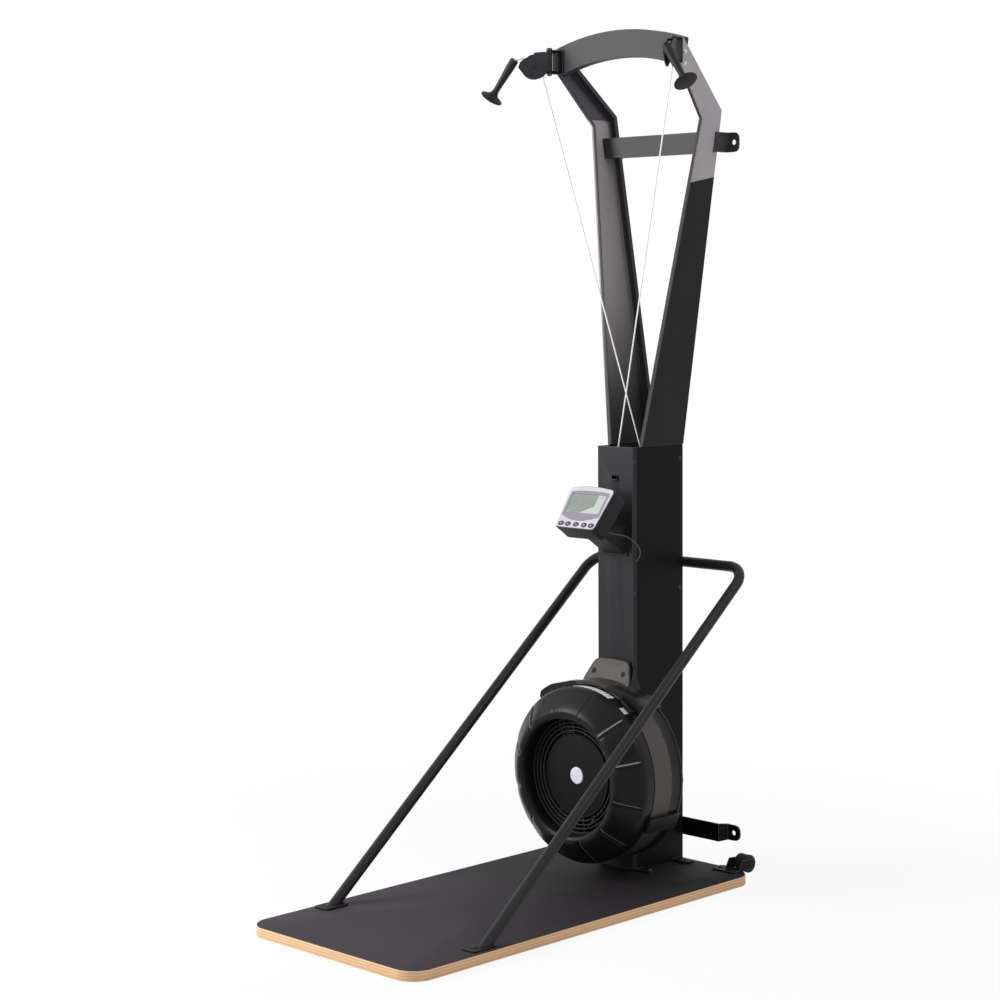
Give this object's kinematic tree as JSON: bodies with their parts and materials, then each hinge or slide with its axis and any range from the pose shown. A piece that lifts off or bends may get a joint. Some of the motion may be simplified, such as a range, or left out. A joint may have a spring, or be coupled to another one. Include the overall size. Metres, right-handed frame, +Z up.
{
  "type": "ski trainer machine",
  "caption": "Standing rope-pull ski trainer: plywood platform, steel column with splayed arms, swivelling pulley heads with handles, air fan, tilting console and tubular brace.",
  "frame": {"origin": "centre of the platform's flat underside, on the floor", "axes": "+Z up, +X to the right of the front view, -Y towards the user's end of the platform, +Y towards the wall"},
  "size_m": [0.7304, 1.289, 2.253],
  "materials": {
    "plywood": "raw plywood edge with a clear seal",
    "deck_film": "fine anti-slip texture",
    "black_powder": "satin powder coat",
    "dark_powder": "satin powder coat",
    "gloss_black": "moulded, glossy",
    "matt_black": "moulded, matt",
    "dark_polymer": "moulded, satin",
    "zinc_steel": "zinc plated",
    "fan_alloy": "as formed",
    "steel_mesh": "fine perforated sheet",
    "white_rope": "braided cord",
    "black_rubber": "plain rubber",
    "white_cap": "plain moulded disc",
    "silver_bezel": "silver lacquer",
    "display": "blank liquid-crystal window"
  },
  "bodies": {
    "frame": {"base_board": "plywood", "deck_surface": "deck_film", "column_frame": "black_powder", "column_front_cover": "black_powder", "arm_left": "dark_powder", "arm_right": "dark_powder", "arch_bar": "dark_powder", "upper_wall_bar": "dark_powder", "upper_wall_ear_left": "black_powder", "upper_wall_ear_right": "black_powder", "lower_wall_bar": "black_powder", "brace_hoop": "black_powder", "brace_foot_left": "black_powder", "brace_foot_right": "black_powder", "swivel_bracket_left": "black_powder", "swivel_bracket_right": "black_powder", "swivel_pin_left": "zinc_steel", "swivel_pin_right": "zinc_steel", "drive_rope_left": "white_rope", "drive_rope_right": "white_rope", "guide_bracket": "zinc_steel", "return_cord_left": "black_rubber", "return_cord_right": "black_rubber", "drive_plate": "zinc_steel", "front_bearing": "zinc_steel", "rear_bearing": "zinc_steel", "fan_front_shell": "gloss_black", "fan_grille": "matt_black", "fan_centre_cap": "white_cap", "fan_mesh_band": "steel_mesh", "fan_rear_shell": "gloss_black", "console_bracket": "matt_black", "console_cable": "matt_black", "wheel_bracket_left": "black_powder", "wheel_bracket_right": "black_powder"},
    "head_left": {"pulley_head_left": "dark_polymer", "head_rope_left": "white_rope"},
    "head_right": {"pulley_head_right": "dark_polymer", "head_rope_right": "white_rope"},
    "pulley_left": {"head_pulley_left": "dark_polymer"},
    "pulley_right": {"head_pulley_right": "dark_polymer"},
    "handle_left": {"handle_left": "matt_black"},
    "handle_right": {"handle_right": "matt_black"},
    "guide_left": {"guide_pulley_left": "dark_polymer"},
    "guide_right": {"guide_pulley_right": "dark_polymer"},
    "spool_left": {"drive_spool_left": "dark_polymer"},
    "spool_right": {"drive_spool_right": "dark_polymer"},
    "flywheel": {"fan_impeller": "fan_alloy", "fan_axle": "zinc_steel"},
    "damper": {"damper_ring": "matt_black"},
    "console": {"console_housing": "matt_black", "console_bezel": "silver_bezel", "console_screen": "display"},
    "button_1": {"console_button_1": "matt_black"},
    "button_2": {"console_button_2": "matt_black"},
    "button_3": {"console_button_3": "matt_black"},
    "button_4": {"console_button_4": "matt_black"},
    "button_5": {"console_button_5": "matt_black"},
    "wheel_left": {"transport_wheel_left": "black_rubber"},
    "wheel_right": {"transport_wheel_right": "black_rubber"}
  },
  "joints": [
    {"name": "head_swivel_right", "type": "hinge", "parent": "frame", "child": "head_right", "pos_m": [0.218, 0.386, 2.173], "axis": [0, 0, 1], "range_deg": [-45, 40]},
    {"name": "head_swivel_left", "type": "hinge", "parent": "frame", "child": "head_left", "pos_m": [-0.218, 0.386, 2.173], "axis": [0, 0, -1], "range_deg": [-45, 40]},
    {"name": "handle_pull_right", "type": "slide", "parent": "head_right", "child": "handle_right", "axis": [0, -0.14, -0.9901], "range_m": [0, 1.2], "stiffness_N_per_m": 15, "springref_m": -0.5},
    {"name": "handle_pull_left", "type": "slide", "parent": "head_left", "child": "handle_left", "axis": [0, -0.14, -0.9901], "range_m": [0, 1.2], "stiffness_N_per_m": 15, "springref_m": -0.5},
    {"name": "head_pulley_turn_right", "type": "hinge", "parent": "head_right", "child": "pulley_right", "pos_m": [0.23836, 0.34927, 2.173], "axis": [0.8746, 0.4848, 0], "range_deg": [0, 2660]},
    {"name": "head_pulley_turn_left", "type": "hinge", "parent": "head_left", "child": "pulley_left", "pos_m": [-0.23836, 0.34927, 2.173], "axis": [0.8746, -0.4848, 0], "range_deg": [0, 2660]},
    {"name": "guide_pulley_turn_right", "type": "hinge", "parent": "frame", "child": "guide_right", "pos_m": [0, 0.4334, 1.13], "axis": [0, 1, 0], "range_deg": [0, 3440]},
    {"name": "guide_pulley_turn_left", "type": "hinge", "parent": "frame", "child": "guide_left", "pos_m": [0, 0.4904, 1.13], "axis": [0, -1, 0], "range_deg": [0, 3440]},
    {"name": "spool_turn_right", "type": "hinge", "parent": "frame", "child": "spool_right", "pos_m": [0, 0.44, 0.302], "axis": [0, 1, 0], "range_deg": [0, 3440]},
    {"name": "spool_turn_left", "type": "hinge", "parent": "frame", "child": "spool_left", "pos_m": [0, 0.497, 0.302], "axis": [0, 1, 0], "range_deg": [0, 3440]},
    {"name": "flywheel_spin", "type": "hinge", "parent": "frame", "child": "flywheel", "pos_m": [0, 0.35, 0.302], "axis": [0, 1, 0], "continuous": true},
    {"name": "damper_turn", "type": "hinge", "parent": "frame", "child": "damper", "pos_m": [0, 0.33, 0.302], "axis": [0, -1, 0], "range_deg": [0, 50]},
    {"name": "console_tilt", "type": "hinge", "parent": "frame", "child": "console", "pos_m": [0, 0.327, 0.93453], "axis": [1, 0, 0], "range_deg": [-20, 25], "deforming": ["console_cable"]},
    {"name": "button_press_1", "type": "slide", "parent": "console", "child": "button_1", "axis": [0, 0.8018, -0.5976], "range_m": [0, 0.0011], "stiffness_N_per_m": 400},
    {"name": "button_press_2", "type": "slide", "parent": "console", "child": "button_2", "axis": [0, 0.8018, -0.5976], "range_m": [0, 0.0011], "stiffness_N_per_m": 400},
    {"name": "button_press_3", "type": "slide", "parent": "console", "child": "button_3", "axis": [0, 0.8018, -0.5976], "range_m": [0, 0.0011], "stiffness_N_per_m": 400},
    {"name": "button_press_4", "type": "slide", "parent": "console", "child": "button_4", "axis": [0, 0.8018, -0.5976], "range_m": [0, 0.0011], "stiffness_N_per_m": 400},
    {"name": "button_press_5", "type": "slide", "parent": "console", "child": "button_5", "axis": [0, 0.8018, -0.5976], "range_m": [0, 0.0011], "stiffness_N_per_m": 400},
    {"name": "wheel_roll_left", "type": "hinge", "parent": "frame", "child": "wheel_left", "pos_m": [-0.246, 0.645, 0.04], "axis": [1, 0, 0], "continuous": true},
    {"name": "wheel_roll_right", "type": "hinge", "parent": "frame", "child": "wheel_right", "pos_m": [0.246, 0.645, 0.04], "axis": [1, 0, 0], "continuous": true}
  ],
  "couplings": [
    {"joint": "head_pulley_turn_right", "follows": "handle_pull_right", "rad_per_m": 38.61},
    {"joint": "head_pulley_turn_left", "follows": "handle_pull_left", "rad_per_m": 38.61},
    {"joint": "guide_pulley_turn_right", "follows": "handle_pull_right", "rad_per_m": 50},
    {"joint": "guide_pulley_turn_left", "follows": "handle_pull_left", "rad_per_m": 50},
    {"joint": "spool_turn_right", "follows": "handle_pull_right", "rad_per_m": 50},
    {"joint": "spool_turn_left", "follows": "handle_pull_left", "rad_per_m": 50}
  ]
}
